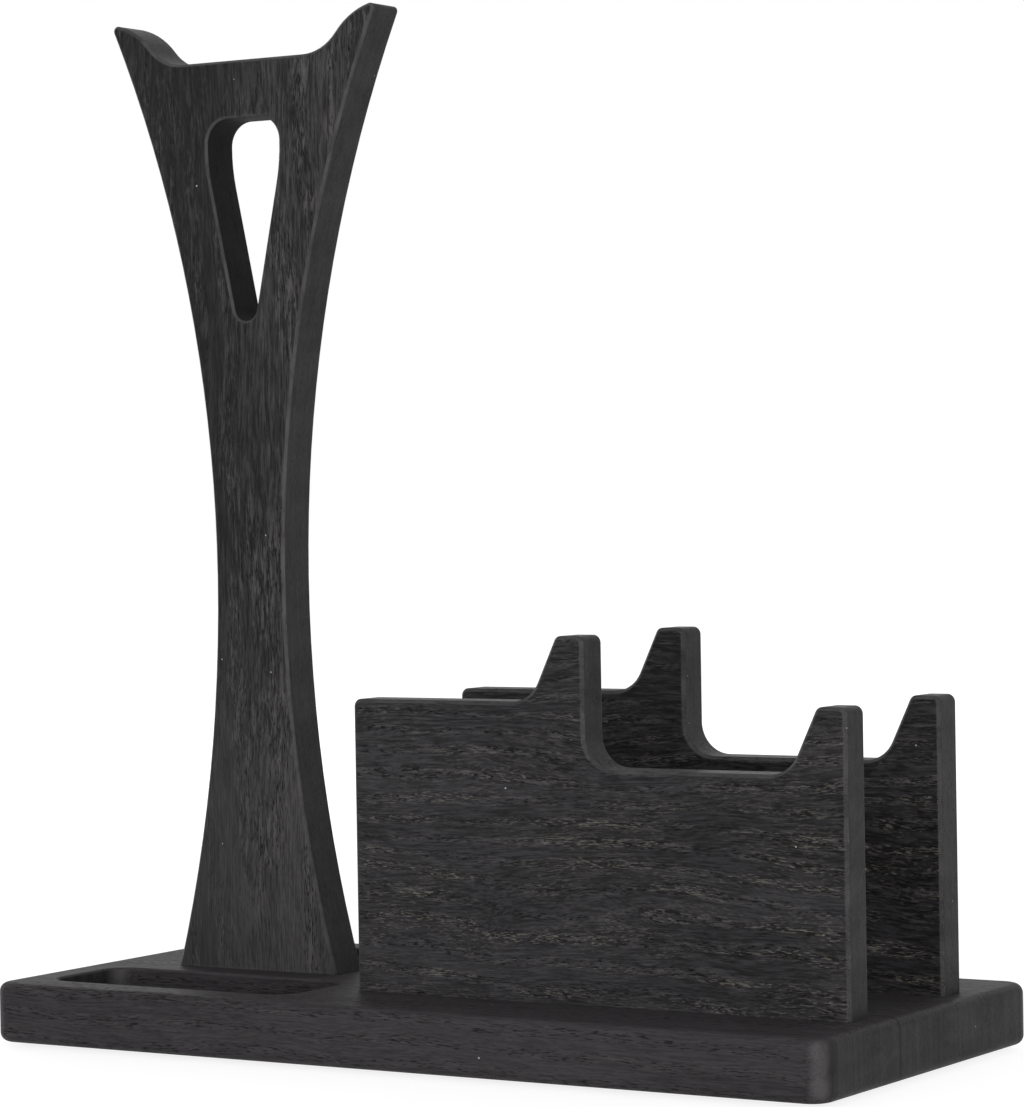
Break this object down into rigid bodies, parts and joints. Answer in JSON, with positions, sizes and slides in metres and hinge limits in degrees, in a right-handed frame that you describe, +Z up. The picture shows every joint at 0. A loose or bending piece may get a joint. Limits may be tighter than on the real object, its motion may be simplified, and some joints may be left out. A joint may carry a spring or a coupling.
{
  "type": "controller and headset stand",
  "caption": "Dark stained wooden desk stand: a waisted post that carries a headset, stepped rails that seat controllers, and shallow trays in the base board.",
  "frame": {"origin": "on the surface that the stand rests on, under the middle of the base board", "axes": "+X along the base board, from the post to the rails' ends; +Y from front to back; +Z up"},
  "size_m": [0.3, 0.14, 0.3312],
  "materials": {
    "dark_oak": "charcoal stain under a satin oil, open grain",
    "screw_steel": "zinc plated",
    "felt": "pressed felt"
  },
  "bodies": {
    "root": {"base_board": "dark_oak", "headset_post": "dark_oak", "front_controller_rail": "dark_oak", "rear_controller_rail": "dark_oak", "assembly_screws": "screw_steel", "foot_pad_front_left": "felt", "foot_pad_front_right": "felt", "foot_pad_rear_left": "felt", "foot_pad_rear_right": "felt"}
  },
  "joints": []
}
